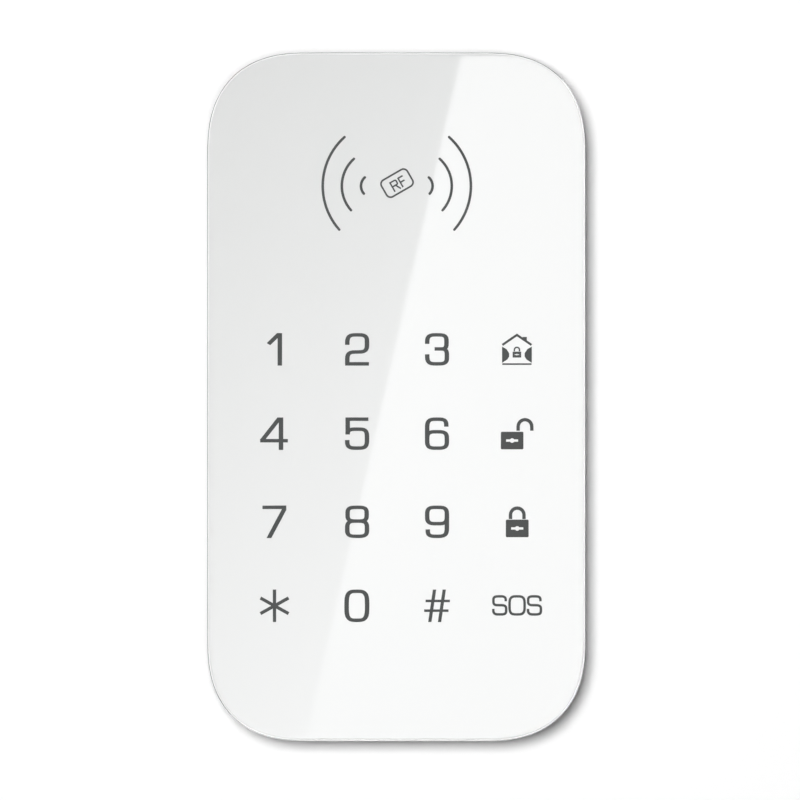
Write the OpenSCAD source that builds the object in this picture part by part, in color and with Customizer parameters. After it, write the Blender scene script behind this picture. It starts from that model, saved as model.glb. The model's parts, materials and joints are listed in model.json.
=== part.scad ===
// Wireless touch keypad for an alarm system, with its wall bracket.
// The wall is the plane Y = 0 and the front looks towards -Y. +Z is up and +X is to the right,
// as seen from the front. Depths are measured from the wall towards the front.
// The pose shown is the keypad hung on its bracket and resting on the hooks.

/* [Front] */
// Width of the front panel
body_w = 68.6; // [66:0.2:72]
// Height of the front panel
body_h = 125; // [122:1:132]
// How far each rounded corner reaches along both of its sides
corner_size = 18.2; // [16:0.2:20]
// Squareness of the corners, where 2 is a quarter circle
corner_power = 2.45; // [2.2:0.05:2.8]
// Thickness of the glossy front panel
panel_t = 2; // [1.6:0.1:2.4]
// Chamfer round the front edge of the panel
panel_chamfer = 0.3; // [0.1:0.05:0.5]
// Thickness of the printed marks
print_t = 0.04; // [0.02:0.01:0.08]

/* [Keys] */
// Height of the digits
digit_h = 5.9; // [5:0.1:6.5]
// Width of the round digits
digit_w = 4.4; // [4:0.1:5]
// Width of an upright stroke
pen_w = 0.82; // [0.5:0.01:0.9]
// Thickness of a level stroke, as a share of an upright one
pen_flatness = 0.78; // [0.7:0.01:1]
// Squareness of the round strokes, where 2 is a quarter circle
pen_power = 3.6; // [2.4:0.1:5]

/* [Depth] */
// Thickness of the wall bracket
bracket_t = 2.6; // [2.6:0.1:3]
// Gap between the bracket and the floor of the housing
bracket_gap = 0.4; // [0.3:0.05:0.5]
// Thickness of the floor of the housing
floor_t = 1.6; // [1.5:0.1:1.8]
// Thickness of the battery
battery_t = 5; // [5:0.1:5.6]
// Thickness of the circuit board
board_t = 1.2; // [1:0.1:1.6]
// Thickness of the light guide
guide_t = 1.2; // [1:0.1:1.5]

/* [Moving parts] */
// How far the keypad lifts to come off its hooks
lift = 5.5; // [5:0.1:5.6]
// Travel of the power switch
switch_travel = 2; // [1.5:0.1:2.2]
// Travel of the tamper plunger
tamper_travel = 1.5; // [1:0.1:1.5]

/* [Fixings] */
// Height between the two wall screws
wall_screw_pitch = 60; // [56:1:64]
// Diameter of the holes for the wall screws
wall_screw_d = 4.2; // [3.6:0.1:4.4]
// Diameter of the countersink for a wall screw's head
wall_head_d = 7.8; // [7:0.1:8.2]

/* [Hidden] */
$fn = 64;
eps = 0.01;
through = 20;

// Steps along one rounded corner of the body, and along one quarter of a round stroke
corner_steps = 24;
pen_steps = 10;

// Depths from the wall, in the order in which the layers lie
rim_back = 0.6;
rim_t = 1.6;
rim_round = 2.6;
floor_back = bracket_t + bracket_gap;
floor_front = floor_back + floor_t;
pad_t = 0.4;
battery_back = floor_front + pad_t;
board_back = battery_back + battery_t + 0.2;
board_front = board_back + board_t;
frame_back = board_front + 0.65;
guide_back = board_front + 0.7;
guide_front = guide_back + guide_t;
film_t = 0.12;
adhesive_t = 0.2;
panel_back = guide_front + adhesive_t;
panel_front = panel_back + panel_t;

// Insets from the outline of the panel
frame_inset = 0.4;
housing_front_inset = 0.5;
housing_waist_inset = 1.1;
cavity_inset = 2.7;
trough_inset = 3.2;
tongue_inset = 2.8;
tongue_t = 1.1;
board_inset = 4.4;
ledge_inset = 5.3;
guide_inset = 6;
recess_inset = 9;
bracket_inset = 9.5;
adhesive_inset = 1;

// Keys: the columns left to right and the rows top to bottom
key_x = [-22.1, -7.1, 7.4, 21.9];
key_z = [8.6, -6.7, -22.7, -37.94];
key_pad = [11, 11.5];
reader_z = 38.25;

// Screws that close the housing, and screws that hold the board
case_x = 26.2;
case_z = 52.2;
board_screw_x = 27;
board_screw_z = -6;
boss_r = 2.2;
pad_r = 2.8;
screw_r = 1;
screw_play = 0.02;
head_r = 1.9;
head_play = 0.2;
head_seat = floor_front + 0.8;
boss_back = floor_front + 4.3;
post_play = 0.1;

// Hooks of the bracket, which enter slots in the floor of the housing
hook_x = 20;
hook_z = [38, -36];
hook_w = 5;
stem_h = 2;
hook_play = 0.3;
lip_back = floor_front + hook_play;
lip_t = 1.2;
lip_h = lift - hook_play - 0.2;

// Parts along the bottom edge
port_x = 0;
socket_w = 7.5;
socket_h = 2.6;
port_depth = board_back - socket_h / 2;
buzzer_x = -12;
sound_pitch = 2.5;
sound_r = 0.6;
switch_x = 11;
knob_w = 2.2;
knob_t = 1.4;
knob_tip = body_h / 2 - 0.3;
knob_root = body_h / 2 - 4.9;
switch_w = 8.6;
switch_near = body_h / 2 - 3.3;
switch_l = 3.6;

// Battery with its plug, and the middle of the radio board
battery_w = 34;
battery_h = 50;
battery_z = 21;
plug_x = -8;
plug_top = battery_z - battery_h / 2 - 4.2;
radio_x = 23.3;

// Tamper switch, whose plunger passes through the floor and a window in the bracket
tamper_x = 0;
tamper_z = -14;
plunger_r = 1.5;
plunger_play = 0.05;
flange_r = 2.6;
flange_back = floor_front + tamper_travel + 0.1;
flange_t = 0.8;
flange_front = flange_back + flange_t;
nose_front = board_back - 2.25;
tamper_top = board_back - 2.2;
tamper_case_top = board_back - 1.6;

// ---- Helpers ----

// Extrudes an outline drawn in X and Z from one depth to another
module layer(back, front) {
    translate([0, -back, 0])
        rotate([90, 0, 0])
            linear_extrude(front - back)
                children();
}

// Rectangular block centred at x and z
module block(x, z, w, h, back, front) {
    layer(back, front)
        translate([x, z])
            square([w, h], center = true);
}

// Disc or pin centred at x and z, lying along Y
module disc(x, z, r, back, front) {
    layer(back, front)
        translate([x, z])
            circle(r);
}

// Disc whose radius changes from back_r to front_r
module cone(x, z, back_r, front_r, back, front) {
    translate([x, -back, z])
        rotate([90, 0, 0])
            cylinder(h = front - back, r1 = back_r, r2 = front_r);
}

// Flat outline of a rectangle with round corners
module rounded(w, h, r) {
    square([w - 2 * r, h], center = true);
    square([w, h - 2 * r], center = true);
    for (x = [-1, 1], z = [-1, 1])
        translate([x * (w / 2 - r), z * (h / 2 - r)])
            circle(r);
}

// Outline of the body, moved inwards by an inset: straight sides with superellipse corners
function outline(inset) =
    let (
        c = corner_size - inset,
        x = body_w / 2 - corner_size,
        z = body_h / 2 - corner_size,
        k = 2 / corner_power
    )
    [
        for (quarter = [0:3], i = [0:corner_steps])
            let (
                a = 90 * i / corner_steps,
                along = quarter % 2 == 0 ? [cos(a), sin(a)] : [sin(a), cos(a)],
                side = [quarter == 0 || quarter == 3 ? 1 : -1, quarter < 2 ? 1 : -1]
            )
            [
                side.x * (x + c * pow(along.x, k)),
                side.y * (z + c * pow(along.y, k))
            ]
    ];

module body_outline(inset) {
    polygon(outline(inset));
}

// Wire wound round Z, from z = 0 upwards
module coil(r, wire_r, turns, pitch, steps, sides) {
    count = turns * steps;
    points = [
        for (i = [0:count], j = [0:sides - 1])
            let (
                turn = 360 * i / steps,
                face = 360 * j / sides,
                reach = r + wire_r * cos(face)
            )
            [reach * cos(turn), reach * sin(turn), pitch * i / steps + wire_r * sin(face)]
    ];
    first_end = [for (j = [0:sides - 1]) j];
    last_end = [for (j = [sides - 1:-1:0]) count * sides + j];
    walls = [
        for (i = [0:count - 1], j = [0:sides - 1])
            let (k = (j + 1) % sides)
            each [
                [i * sides + j, (i + 1) * sides + j, (i + 1) * sides + k],
                [i * sides + j, (i + 1) * sides + k, i * sides + k]
            ]
    ];
    polyhedron(points, concat([first_end], walls, [last_end]));
}

// Repeats a part at the four corner screws
module at_case_screws() {
    for (x = [-1, 1], z = [-1, 1])
        translate([x * case_x, 0, z * case_z])
            children();
}

// Repeats a part at the two board screws
module at_board_screws() {
    for (x = [-1, 1])
        translate([x * board_screw_x, 0, board_screw_z])
            children();
}

// Repeats a part at the four hooks, standing at the foot of each stem
module at_hooks() {
    for (x = [-1, 1], z = hook_z)
        translate([x * hook_x, 0, z])
            children();
}

// ---- Lettering ----
// A stroke is a list of points in halves of the letter's width and height. The word after a
// point says how the pen reaches it: straight, or by a quarter turn that starts upright or level.

// Points of a quarter turn from p to q
function quarter_turn(p, q, starts_upright) =
    let (k = 2 / pen_power)
    [
        for (i = [1:pen_steps])
            let (
                a = 90 * i / pen_steps,
                early = pow(sin(a), k),
                late = 1 - pow(cos(a), k)
            )
            [
                p.x + (q.x - p.x) * (starts_upright ? late : early),
                p.y + (q.y - p.y) * (starts_upright ? early : late)
            ]
    ];

// The points of a whole stroke, at its real size
function stroke_points(stroke, size) =
    [
        for (i = [0:len(stroke) - 1])
            let (
                q = [stroke[i].x * size.x / 2, stroke[i].y * size.y / 2],
                before = stroke[max(i - 1, 0)],
                p = [before.x * size.x / 2, before.y * size.y / 2]
            )
            each stroke[i][2] == undef ? [q] : quarter_turn(p, q, stroke[i][2] == "upright")
    ];

// Unit normal of the run from p to q, on a sheet stretched upwards to make level strokes thin
function pen_normal(p, q, flatness) =
    let (d = [q.x - p.x, (q.y - p.y) / flatness])
    [-d.y, d.x] / norm(d);

// The point beside a stroke's point, on the left for a positive reach
function side_point(before, at, after, reach, flatness) =
    let (
        m = pen_normal(before, at, flatness),
        n = pen_normal(at, after, flatness),
        away = (m + n) * reach / (1 + m * n)
    )
    at + [away.x, away.y * flatness];

// One side of a stroke with two ends
function open_side(points, reach, flatness) =
    let (last = len(points) - 1)
    [
        for (i = [0:last])
            let (
                before = i == 0 ? 2 * points[0] - points[1] : points[i - 1],
                after = i == last ? 2 * points[last] - points[last - 1] : points[i + 1]
            )
            side_point(before, points[i], after, reach, flatness)
    ];

// One side of a stroke that runs back into its own start, whose last point repeats its first
function loop_side(points, reach, flatness) =
    let (count = len(points) - 1)
    [
        for (i = [0:count - 1])
            side_point(
                points[(i + count - 1) % count], points[i], points[(i + 1) % count],
                reach, flatness
            )
    ];

function backwards(points) = [for (i = [len(points) - 1:-1:0]) points[i]];

// A stroke as a flat ribbon
module ribbon(points, w, flatness = 1) {
    polygon(concat(
        open_side(points, w / 2, flatness),
        backwards(open_side(points, -w / 2, flatness))
    ));
}

// A closed stroke as a flat band
module band(points, w, flatness = 1) {
    difference() {
        polygon(loop_side(points, -w / 2, flatness));
        polygon(loop_side(points, w / 2, flatness));
    }
}

// A letter made of strokes that fill a box of the given size
module letter(strokes, size, w = pen_w, flatness = pen_flatness) {
    middle = [size.x - w, size.y - w * flatness];
    for (stroke = strokes) {
        points = stroke_points(stroke, middle);
        if (points[0] == points[len(points) - 1])
            band(points, w, flatness);
        else
            ribbon(points, w, flatness);
    }
}

// Round strokes that several letters share
function ring(low, high, half_w = 1) =
    let (mid = (low + high) / 2)
    [
        [0, low],
        [half_w, mid, "level"],
        [0, high, "upright"],
        [-half_w, mid, "level"],
        [0, low, "upright"]
    ];

DIGITS = [
    // 0
    [ring(-1, 1)],
    // 1
    [[[-0.61, 0.36], [0.54, 1.12]], [[0.54, 1.12], [0.54, -1.12]]],
    // 2
    [
        [
            [-1, 0.31],
            [0, 1, "upright"],
            [1, 0.44, "level"],
            [0, -0.18, "upright"],
            [-1, -0.8, "level"],
            [-1, -1]
        ],
        [[-1.22, -1], [1.2, -1]]
    ],
    // 3
    [
        [[-1, 0.38], [0, 1, "upright"], [0.96, 0.5, "level"], [0.3, 0.03, "upright"], [-0.25, 0.03]],
        [[-0.25, 0.03], [0.3, 0.03], [1, -0.48, "level"], [0, -1, "upright"], [-1, -0.34, "level"]]
    ],
    // 4
    [
        [[0.57, 1.12], [-1.29, -0.485]],
        [[-1.46, -0.485], [1.36, -0.485]],
        [[0.66, 1.12], [0.66, -1.12]]
    ],
    // 5
    [
        [[1.14, 1], [-0.96, 1], [-0.96, -0.06]],
        [
            [-0.96, -0.06],
            [0.1, 0.31, "upright"],
            [1, -0.34, "level"],
            [0, -1, "upright"],
            [-1, -0.44, "level"]
        ]
    ],
    // 6
    [
        [[0.94, 0.48], [0, 1, "upright"], [-1, 0.3, "level"], [-1, -0.44]],
        ring(-1, 0.13)
    ],
    // 7
    [[[-1.22, 1], [1.2, 1]], [[1.02, 0.9], [-0.63, -1.2]]],
    // 8
    [ring(0.05, 1, 0.97), ring(-1, 0.05)],
    // 9
    [
        [[-0.94, -0.52], [0, -1, "upright"], [1, -0.3, "level"], [1, 0.44]],
        ring(-0.13, 1)
    ]
];

LETTER_S = [
    [
        [0.94, 0.45],
        [0, 1, "upright"],
        [-0.98, 0.52, "level"],
        [0, 0.02, "upright"],
        [1, -0.5, "level"],
        [0, -1, "upright"],
        [-1, -0.38, "level"]
    ]
];
LETTER_R = [
    [[-1, -1.16], [-1, 1.16]],
    [[-1, 1], [0.2, 1], [0.9, 0.5, "level"], [0.2, 0, "upright"], [-1, 0]],
    [[0.1, 0], [1, -1.16]]
];
LETTER_F = [
    [[-1, -1.16], [-1, 1], [1.1, 1]],
    [[-1, 0], [0.9, 0]]
];

// ---- Shells and front ----

// Plate that is screwed to the wall, with a window for the tamper plunger
module bracket_plate() {
    window_r = plunger_r + 0.5;
    layer(0, bracket_t)
        difference() {
            intersection() {
                body_outline(bracket_inset);
                translate([0, lift + hook_play])
                    body_outline(bracket_inset);
            }
            translate([tamper_x, tamper_z + lift / 2])
                rounded(2 * window_r, lift + 2 * window_r, window_r - 0.1);
        }
}

// Hollows that leave ribs on the wall side of the bracket
module bracket_pockets() {
    pocket_t = 1;
    pocket_x = 13.5;
    pocket_w = 15;
    pocket_h = 21.5;
    rib_t = 2.5;
    middle_z = (lift + hook_play) / 2;
    for (side = [-1, 1], row = [-1.5:1:1.5])
        layer(-1, pocket_t)
            translate([side * pocket_x, middle_z + row * (pocket_h + rib_t)])
                rounded(pocket_w, pocket_h, 2);
}

module wall_bracket() {
    color("whitesmoke") {
        difference() {
            bracket_plate();
            bracket_pockets();
            for (side = [-1, 1])
                translate([0, 0, side * wall_screw_pitch / 2]) {
                    disc(0, 0, wall_screw_d / 2, -1, bracket_t + 1);
                    cone(
                        0, 0, wall_screw_d / 2, wall_head_d / 2,
                        bracket_t - (wall_head_d - wall_screw_d) / 2, bracket_t + eps
                    );
                }
        }
        at_hooks() {
            block(0, stem_h / 2, hook_w, stem_h, bracket_t - eps, lip_back + lip_t);
            block(0, (stem_h + lip_h) / 2, hook_w, stem_h + lip_h, lip_back, lip_back + lip_t);
        }
    }
}

// Solid outer form of the housing: drafted sides and a rounded edge next to the wall
module housing_form() {
    hull() {
        layer(frame_back - 0.1 - eps, frame_back - 0.1)
            body_outline(housing_front_inset);
        for (a = [0:15:90]) {
            back = rim_back + rim_round * (1 - cos(a));
            layer(back, back + eps)
                body_outline(housing_waist_inset + rim_round * (1 - sin(a)));
        }
    }
}

// Openings in the bottom wall: charging port, power switch and sound holes
module bottom_openings() {
    wall_z = -body_h / 2 + 1;
    cut_h = 4;
    port_w = socket_w + 0.8;
    port_h = socket_h + 0.8;
    slot_w = knob_w + switch_travel + 0.5;
    slot_h = knob_t + 0.5;
    block(port_x, wall_z, port_w, cut_h, port_depth - port_h / 2, port_depth + port_h / 2);
    block(
        switch_x + switch_travel / 2, wall_z, slot_w, cut_h,
        port_depth - slot_h / 2, port_depth + slot_h / 2
    );
    for (hole = [-1:1])
        translate([buzzer_x + hole * sound_pitch, -port_depth, -body_h / 2 - 1])
            cylinder(h = cut_h, r = sound_r);
}

module rear_housing() {
    post_r = 3.4;
    slot_h = stem_h + lift + hook_play + 0.05;
    color("white")
        difference() {
            union() {
                difference() {
                    housing_form();
                    layer(floor_front, through)
                        body_outline(cavity_inset);
                    layer(rim_back + rim_t, floor_front + eps)
                        difference() {
                            body_outline(trough_inset);
                            body_outline(recess_inset - rim_t);
                        }
                    layer(-1, floor_back)
                        body_outline(recess_inset);
                }
                at_case_screws()
                    disc(0, 0, post_r, rim_back + rim_t / 2, boss_back - post_play);
            }
            at_case_screws() {
                disc(0, 0, head_r + head_play, -1, head_seat);
                disc(0, 0, screw_r + 0.15, -1, through);
            }
            at_hooks()
                block(
                    0, stem_h + 0.05 - slot_h / 2, hook_w + 2 * hook_play, slot_h,
                    floor_back - 1, floor_front + 1
                );
            disc(tamper_x, tamper_z, plunger_r + plunger_play, floor_back - 1, floor_front + 1);
            bottom_openings();
        }
}

module front_frame() {
    color("white")
        difference() {
            union() {
                layer(frame_back, guide_front)
                    difference() {
                        body_outline(frame_inset);
                        body_outline(ledge_inset);
                    }
                layer(frame_back - 1.5, frame_back + eps)
                    difference() {
                        body_outline(tongue_inset);
                        body_outline(tongue_inset + tongue_t);
                    }
                at_case_screws() {
                    disc(0, 0, boss_r, boss_back, frame_back + eps);
                    disc(0, 0, pad_r, frame_back, guide_front);
                }
                at_board_screws()
                    disc(0, 0, pad_r, board_front, guide_front);
            }
            at_case_screws()
                disc(0, 0, screw_r + screw_play, boss_back - 1, guide_front - 0.6);
            at_board_screws()
                disc(0, 0, screw_r + screw_play, board_front - 1, guide_front - 0.2);
        }
}

// Ring of double-sided tape that holds the panel to the frame
module panel_adhesive() {
    color("dimgray")
        layer(guide_front, panel_back)
            difference() {
                body_outline(adhesive_inset);
                body_outline(ledge_inset + 0.3);
            }
}

module front_panel() {
    color("whitesmoke") {
        hull() {
            layer(panel_back, panel_front - panel_chamfer)
                body_outline(0);
            layer(panel_front - eps, panel_front)
                body_outline(panel_chamfer);
        }
    }
}

// ---- Printed marks ----

// Lays a flat mark on the front of the panel
module printed(x, z) {
    color("dimgray")
        layer(panel_front, panel_front + print_t)
            translate([x, z])
                children();
}

// One digit, trimmed level at the top and bottom
module digit(n, w = digit_w) {
    intersection() {
        letter(DIGITS[n], [w, digit_h]);
        square([2 * digit_w, digit_h], center = true);
    }
}

module star() {
    arm = 0.6;
    for (turn = [90, 29, -29])
        rotate(turn)
            square([digit_h - (turn == 90 ? 0 : 0.05), arm], center = true);
}

module hash() {
    bar = 0.46;
    lean = 0.58;
    intersection() {
        square([2 * digit_w, digit_h], center = true);
        union() {
            for (side = [-1, 1]) {
                ribbon(
                    [[side * 0.88 - lean, -digit_h / 2 - 1], [side * 0.88 + lean, digit_h / 2 + 1]],
                    0.6
                );
                translate([side * 0.13, side * 0.88])
                    square([digit_h * 0.75, bar], center = true);
            }
        }
    }
}

module digit_legends() {
    for (n = [1:9])
        printed(key_x[(n - 1) % 3], key_z[floor((n - 1) / 3)])
            digit(n);
    printed(key_x[0], key_z[3])
        star();
    printed(key_x[1] - 0.05, key_z[3])
        digit(0, digit_w + 0.15);
    printed(key_x[2], key_z[3])
        hash();
}

// Padlock: a body with a keyhole bar and a shackle moved sideways and up when it is open
module padlock(w, h, shackle_w, pen, shift, gap) {
    leg = h * 0.24;
    keyhole_w = w * 0.53;
    keyhole_h = h * 0.13;
    difference() {
        rounded(w, h, h * 0.07);
        square([keyhole_w, keyhole_h], center = true);
        circle(keyhole_h);
    }
    shackle_r = (shackle_w - pen) / 2;
    translate([shift, h / 2 + gap])
        ribbon(
            concat(
                [[shackle_r, 0]],
                [for (a = [0:15:180]) [shackle_r * cos(a), leg + shackle_r * sin(a)]],
                [[-shackle_r, 0]]
            ),
            pen
        );
}

// House with drawn curtains and a padlock inside
module house() {
    half_w = 2.65;
    eaves = 0.8;
    ridge = 2.62;
    ribbon([[-half_w, eaves], [0, ridge], [half_w, eaves]], 0.42);
    polygon([[1.05, 1.75], [1.05, 2.26], [1.8, 2.26], [1.8, 1.35]]);
    translate([0, -2.67])
        square([2 * half_w, 0.3], center = true);
    for (side = [-1, 1])
        polygon([
            [side * 2.7, 0.5],
            [side * 2.7, -2.45],
            [side * 1.75, -1.85],
            [side * 1.4, -1.3],
            [side * 1.4, -0.7],
            [side * 1.9, 0.05]
        ]);
    translate([0, -0.95])
        padlock(1.56, 1.08, 1.2, 0.27, 0, 0.06);
}

module sos() {
    letter_h = 3.74;
    pen = 0.46;
    for (side = [-1, 1])
        translate([side * 3.15, 0])
            letter(LETTER_S, [2.8, letter_h], pen, 1);
    letter([ring(-1, 1)], [3.2, letter_h], pen, 1);
}

module symbol_legends() {
    printed(key_x[3], key_z[0])
        house();
    printed(key_x[3] - 0.87, key_z[1] - 1.25)
        padlock(4.1, 3.2, 3.1, 0.62, 2.33, 0.18);
    printed(key_x[3] + 0.06, key_z[2] - 1.2)
        padlock(4.15, 3.2, 3.07, 0.62, 0, 0.1);
    printed(key_x[3] + 0.03, key_z[3] + 0.07)
        sos();
}

function polar(centre, r, a) = centre + r * [cos(a), sin(a)];

// Points of an arc, both ends left out
function arc(centre, r, from, to, steps) =
    [for (i = [1:steps - 1]) polar(centre, r, from + (to - from) * i / steps)];

// Arc with round ends, opening to the left
module wave(centre_x, r) {
    pen = 0.48;
    low = -41.5;
    high = 48;
    centre = [centre_x, 0];
    polygon(concat(
        arc(centre, r + pen / 2, low, high, 24),
        arc(polar(centre, r, high), pen / 2, high, high + 180, 8),
        arc(centre, r - pen / 2, high, low, 24),
        arc(polar(centre, r, low), pen / 2, low + 180, low + 360, 8)
    ));
}

// Reader mark: a tilted card between two sets of radio waves
module reader_legend() {
    card_w = 5.74;
    card_h = 3.8;
    card_line = 0.32;
    letter_h = 2;
    pen = 0.28;
    printed(0.1, reader_z)
        for (side = [0, 1])
            mirror([side, 0]) {
                wave(1.5, 11.95);
                wave(3.35, 6.63);
                wave(4.4, 2.1);
            }
    printed(0.14, reader_z + 0.52)
        rotate(30) {
            difference() {
                rounded(card_w, card_h, 1);
                rounded(card_w - 2 * card_line, card_h - 2 * card_line, 1 - card_line);
            }
            translate([-0.48, -0.19])
                letter(LETTER_R, [1.5, letter_h], pen, 1);
            translate([1.05, -0.19])
                letter(LETTER_F, [1.2, letter_h], pen, 1);
        }
}

// ---- Layers behind the panel ----

module touch_film() {
    color("gainsboro")
        layer(guide_front, guide_front + film_t)
            body_outline(guide_inset);
}

module touch_pads() {
    color("silver")
        for (x = key_x, z = key_z)
            layer(guide_front + film_t, panel_back)
                translate([x, z])
                    rounded(key_pad.x, key_pad.y, 2);
}

// Clear plate that spreads the backlight
module light_guide() {
    color("lightcyan")
        difference() {
            layer(guide_back, guide_front)
                body_outline(guide_inset);
            at_case_screws()
                disc(0, 0, pad_r + 0.4, 0, through);
            at_board_screws()
                disc(0, 0, pad_r + 0.4, 0, through);
        }
}

module backlight_leds() {
    color("lemonchiffon")
        for (x = key_x, z = key_z)
            block(x, z, 1.6, 0.8, board_front, board_front + 0.5);
}

// Flat wound aerial of the card reader
module reader_coil() {
    coil_w = 42;
    coil_h = 28;
    turns_w = 2.5;
    coil_t = 0.3;
    color("chocolate")
        layer(board_front, board_front + coil_t)
            translate([0, reader_z])
                difference() {
                    rounded(coil_w, coil_h, 3);
                    rounded(coil_w - 2 * turns_w, coil_h - 2 * turns_w, 1.5);
                }
}

module main_board() {
    color("darkgreen")
        difference() {
            layer(board_back, board_front)
                body_outline(board_inset);
            at_case_screws()
                disc(0, 0, boss_r + 0.4, 0, through);
            at_board_screws()
                disc(0, 0, screw_r + 0.2, 0, through);
        }
}

// ---- Parts on the back of the board ----

// Chip with a row of legs along two sides, or along all four
module chip(x, z, w, h, t, legs, pitch, all_sides = false) {
    leg_w = pitch * 0.45;
    leg_l = 0.9;
    leg_back = board_back - 0.4;
    color("black")
        block(x, z, w, h, board_back - t, board_back - 0.1);
    color("silver")
        for (i = [0:legs - 1], side = [-1, 1]) {
            along = (i - (legs - 1) / 2) * pitch;
            block(x + side * (w + leg_l) / 2, z + along, leg_l, leg_w, leg_back, board_back);
            if (all_sides)
                block(x + along, z + side * (h + leg_l) / 2, leg_w, leg_l, leg_back, board_back);
        }
}

module touch_controller() {
    chip(x = 13, z = -24, w = 7.5, h = 17.9, t = 2.2, legs = 14, pitch = 1.27);
}

module microcontroller() {
    chip(x = -14, z = -22, w = 7, h = 7, t = 1.4, legs = 11, pitch = 0.5, all_sides = true);
}

module reader_chip() {
    chip(x = -23.5, z = 20, w = 4.4, h = 7.8, t = 1.1, legs = 10, pitch = 0.65);
}

module charger_chip() {
    chip(x = 7.5, z = -46, w = 1.6, h = 2.9, t = 1.1, legs = 3, pitch = 0.95);
}

// Radio board with its shielding can
module radio_module() {
    card_t = 0.8;
    can_t = 1.4;
    can_back = board_back - card_t - can_t;
    color("navy")
        block(x = radio_x, z = 10, w = 10.4, h = 18, back = board_back - card_t, front = board_back);
    color("silver")
        layer(can_back, can_back + can_t)
            translate([radio_x, 8])
                rounded(w = 8.6, h = 11, r = 0.6);
}

// Aerial wound round Z, above the radio board
module radio_antenna() {
    winding_r = 1.9;
    wire_r = 0.3;
    bottom_z = 19.2;
    color("goldenrod")
        translate([radio_x + 0.7, -(board_back - winding_r - 2 * wire_r), bottom_z])
            coil(winding_r, wire_r, turns = 11, pitch = 1.3, steps = 12, sides = 6);
}

module crystal() {
    can_t = 3.4;
    color("silver")
        layer(board_back - can_t, board_back)
            translate([-14, -33])
                rounded(w = 11, h = 4.4, r = 2.1);
}

// Small resistors and capacitors, in rows of four
module board_passives() {
    row_middles = [[-24, -14], [-24, 6], [22, -16], [4, -30], [-3, -40]];
    pitch = 2.2;
    part_t = 0.6;
    color("tan")
        for (middle = row_middles, i = [-1.5:1:1.5])
            block(middle.x + i * pitch, middle.y, 1, 0.8, board_back - part_t, board_back);
}

module buzzer() {
    buzzer_z = -47;
    buzzer_t = 3.4;
    color("black")
        difference() {
            disc(buzzer_x, buzzer_z, 4.8, board_back - buzzer_t, board_back);
            disc(buzzer_x, buzzer_z, 0.8, board_back - buzzer_t - 1, board_back - 2);
        }
}

// Flat pouch cell with rounded long sides
module battery() {
    side_r = battery_t / 2;
    color("silver")
        translate([0, -(battery_back + side_r), battery_z - battery_h / 2]) {
            translate([-(battery_w / 2 - side_r), -side_r, 0])
                cube([battery_w - battery_t, battery_t, battery_h]);
            for (side = [-1, 1])
                translate([side * (battery_w / 2 - side_r), 0, 0])
                    cylinder(h = battery_h, r = side_r);
        }
}

// Foam tape between the cell and the floor of the housing
module battery_pad() {
    color("gray")
        block(0, battery_z, battery_w - 8, battery_h - 8, floor_front, battery_back);
}

// Two short leads from the lower end of the cell to the plug
module battery_leads() {
    for (side = [-1, 1])
        color(side < 0 ? "black" : "red")
            translate([plug_x + side, -(battery_back + battery_t / 2), plug_top])
                cylinder(h = battery_z - battery_h / 2 - plug_top, r = 0.6);
}

module battery_plug() {
    plug_w = 6;
    plug_h = 4.5;
    plug_t = 4.6;
    color("ivory")
        block(plug_x, plug_top - plug_h / 2, plug_w, plug_h, board_back - plug_t, board_back);
}

// Charging socket: a folded metal shell, and a tongue inside it
module usb_socket() {
    shell_l = 5.6;
    shell_t = 0.3;
    end_t = 1;
    mouth_z = -body_h / 2 + 1.1;
    tongue = [3.5, 0.55, shell_l - end_t - 0.8];
    color("silver")
        translate([port_x, -port_depth, mouth_z])
            difference() {
                linear_extrude(shell_l)
                    socket_outline(socket_w, socket_h);
                translate([0, 0, -eps])
                    linear_extrude(shell_l - end_t + eps)
                        socket_outline(socket_w - 2 * shell_t, socket_h - 2 * shell_t);
            }
    color("black")
        translate([port_x - tongue.x / 2, -port_depth + 0.05, mouth_z + 0.8])
            cube(tongue);
}

// Section of the socket, whose front corners are cut off
module socket_outline(w, h) {
    cut = 0.8;
    polygon([
        [-w / 2, h / 2],
        [-w / 2, -h / 2 + cut],
        [-w / 2 + cut, -h / 2],
        [w / 2 - cut, -h / 2],
        [w / 2, -h / 2 + cut],
        [w / 2, h / 2]
    ]);
}

// Slide switch with the pocket that its knob runs in
module power_switch_body() {
    mid_x = switch_x + switch_travel / 2;
    switch_t = 2.6;
    knob_room = 0.2;
    color("silver")
        difference() {
            translate([mid_x - switch_w / 2, -board_back, -switch_near])
                cube([switch_w, switch_t, switch_l]);
            translate([
                switch_x - knob_w / 2 - knob_room,
                -port_depth - knob_t / 2 - knob_room,
                -switch_near - 1
            ])
                cube([
                    knob_w + switch_travel + 2 * knob_room,
                    knob_t + 2 * knob_room,
                    switch_near + 1 - knob_root + knob_room
                ]);
        }
}

module power_switch_knob() {
    color("black")
        translate([switch_x - knob_w / 2, -port_depth - knob_t / 2, -knob_tip])
            cube([knob_w, knob_t, knob_tip - knob_root]);
}

// Push switch on the board, with a button that the plunger's nose presses
module tamper_switch() {
    case_w = 6;
    button_r = 0.9;
    well_front = tamper_case_top + 0.6;
    color("black")
        difference() {
            block(tamper_x, tamper_z, case_w, case_w, tamper_case_top, board_back);
            disc(tamper_x, tamper_z, button_r + 0.1, tamper_case_top - 1, well_front);
        }
    color("ivory")
        disc(tamper_x, tamper_z, button_r, tamper_top, well_front);
}

module tamper_plunger() {
    color("ivory") {
        disc(tamper_x, tamper_z, plunger_r, 0, flange_back + eps);
        disc(tamper_x, tamper_z, flange_r, flange_back, flange_front);
        disc(tamper_x, tamper_z, 1.1, flange_front - eps, nose_front);
    }
}

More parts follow.
